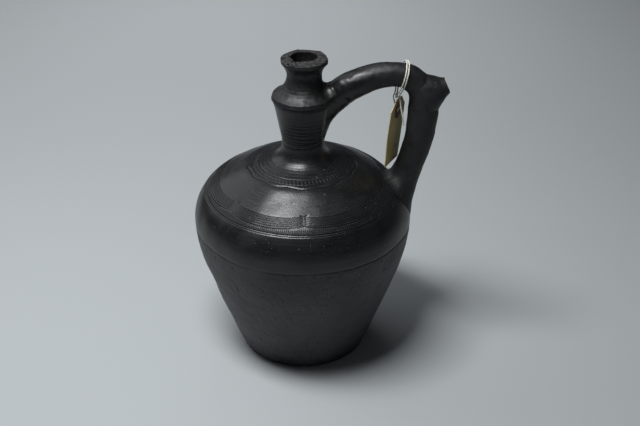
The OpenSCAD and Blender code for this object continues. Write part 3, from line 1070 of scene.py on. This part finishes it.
def spout_skin(start, along, spread):
    """Rings of the spout's outside, from where it leaves the elbow to its broken end."""
    def stub(p):
        s = (p - start) @ along
        gap = np.linalg.norm(p - start - s[..., None] * along, axis=-1)
        return gap - spout_radius(s) - 0.5 * handle_relief(p)

    def elbow(p):
        return np.minimum(bar_distance(p, ELBOW_BAR), bar_distance(p, POST_BAR)) - handle_relief(p)

    rings = []
    for s in np.linspace(0.3, SPOUT_LENGTH - 1, 48):
        tilt = math.atan2(s, spout_radius(s))
        rays = math.cos(tilt) * spread + math.sin(tilt) * along
        rings.append(grow(start, rays, stub, elbow, SPOUT_BLEND))
    tip = start + SPOUT_LENGTH * along + spout_radius(SPOUT_LENGTH) * spread
    return rings + [tip + spread * 0.5 * handle_relief(tip)[:, None]]


def broken_face(centre, along, end):
    """Rings inwards over the rough break. end holds the last ring of the skin, from its centre."""
    rings = []
    for share in np.linspace(0.94, 0.33, 16):
        ring = centre + end * share
        x, y, z = ring.T
        dip = 1.0 * (1 - share) + 0.5 * small(1.6 * x, 1.6 * y, 1.6 * z) * (1 - share ** 4)
        dip += 0.15 * fine(x, y, z)
        rings.append(ring - along * dip[:, None])
    return rings


def spout_piece(clay, broken):
    """The stub of the spout, which flares out of the elbow and ends in a rough break."""
    phi = np.linspace(0, 2 * math.pi, SPOUT_SIDES, endpoint=False)
    along = np.array([cosd(SPOUT_A), 0, sind(SPOUT_A)])
    up = np.array([-sind(SPOUT_A), 0, cosd(SPOUT_A)])
    start = np.array([SPOUT_START[0], 0, SPOUT_START[1]])
    spread = np.cos(phi)[:, None] * up + np.sin(phi)[:, None] * ACROSS
    centre = start + SPOUT_LENGTH * along

    skin = spout_skin(start, along, spread)
    face = broken_face(centre, along, skin[-1] - centre)
    channel = [start + (SPOUT_LENGTH - back) * along + CHANNEL_R * spread for back in (3, 5, 8, 12)]
    skin[-1] = skin[-1] + along * (0.35 * small(*skin[-1].T))[:, None]
    obj = close_rings("spout_stub", skin + face + channel, [0, len(skin) - 1])
    finish_piece(obj, "jug", clay, "burnished_clay", "spout")
    obj.data.materials.append(broken)
    first_broken = (len(skin) - 1) * SPOUT_SIDES
    for polygon in obj.data.polygons:
        if min(polygon.vertices) >= first_broken:
            polygon.material_index = 1


def handle_pieces():
    clay = burnished("handle_clay", around=False, extra=worn_elbow)
    jug = jug_distance()
    side = np.cos(np.linspace(0, 2 * math.pi, HANDLE_SIDES, endpoint=False))
    arm = close_rings("arm", rooted(ELBOW_AT, ARM_ROOT_AT, ARM_BAR, jug, 6 + 5 * side), [0])
    finish_piece(arm, "jug", clay, "burnished_clay", "handle_arm", "collar_fillet")
    elbow = close_rings("elbow", swept(ELBOW_AT, POST_AT), [0, -1])
    finish_piece(elbow, "jug", clay, "burnished_clay", "handle_elbow")
    post = close_rings("post", rooted(POST_AT, POST_ROOT_AT, POST_BAR, jug, 18), [0])
    finish_piece(post, "jug", clay, "burnished_clay", "handle_post", "foot_fillet")
    spout_piece(clay, broken_clay())


# ---- Studio ----
def floor():
    """A pale sweep: a floor that curves up behind the jug."""
    paint = Paint("paper")
    mottled = paint.noise(3, 2)
    colour = paint.mix(mottled, (0.46, 0.487, 0.499, 1), (0.483, 0.507, 0.518, 1))
    material = paint.set(Base_Color=colour, Roughness=0.9)
    half, front, back, radius = 3.0, -2.2, 2.4, 0.9
    bend = arc((back, radius), radius, -90, 0, 0.08)
    line = np.concatenate([[(front, 0)], bend, [(back + radius, 3.2)]])
    points = [(x, y, z) for y, z in line for x in (-half, half)]
    faces = [(2 * i, 2 * i + 1, 2 * i + 3, 2 * i + 2) for i in range(len(line) - 1)]
    obj = make_mesh("floor", np.array(points) / MM, faces)
    obj.data.materials.append(material)


def area_light(name, place, target, size, power, colour, spread=180):
    """A rectangular light that faces the target. spread is the angle that its light keeps within."""
    data = bpy.data.lights.new(name, "AREA")
    data.spread = math.radians(spread)
    data.shape = "RECTANGLE"
    data.size, data.size_y = size
    data.energy = power
    data.color = colour
    obj = link(bpy.data.objects.new(name, data))
    obj.location = place
    obj.rotation_euler = (Vector(target) - Vector(place)).to_track_quat("-Z", "Y").to_euler()


def lights():
    """A soft key light above, a broad fill from the back left, and a small light on the sweep."""
    world = bpy.data.worlds.new("studio")
    bpy.context.scene.world = world
    world.use_nodes = True
    back = world.node_tree.nodes["Background"]
    back.inputs["Color"].default_value = (0.88, 0.95, 1.0, 1)
    back.inputs["Strength"].default_value = 0.042
    cool, white = (0.96, 0.98, 1), (0.97, 0.99, 1)
    area_light("key", (-0.28, -0.215, 1.2), (-0.222, -0.13, 0), (0.57, 0.26), power=14, colour=white)
    area_light("fill", (-1.8, 1.3, 1.5), (-0.2, 0.1, 0), (2.2, 1.6), power=12, colour=cool)
    area_light("back", (-0.1, 1.15, 1.3), (-0.1, 1.15, 0), (0.6, 0.5), 2.6, cool, spread=100)


# ---- Scene ----
def main():
    camera()
    string_and_knot()
    lower_piece()
    shoulder_piece()
    neck_piece()
    mouth_piece()
    handle_pieces()
    tag()
    floor()
    lights()
    view = bpy.context.scene.view_settings
    view.view_transform = "Standard"


main()
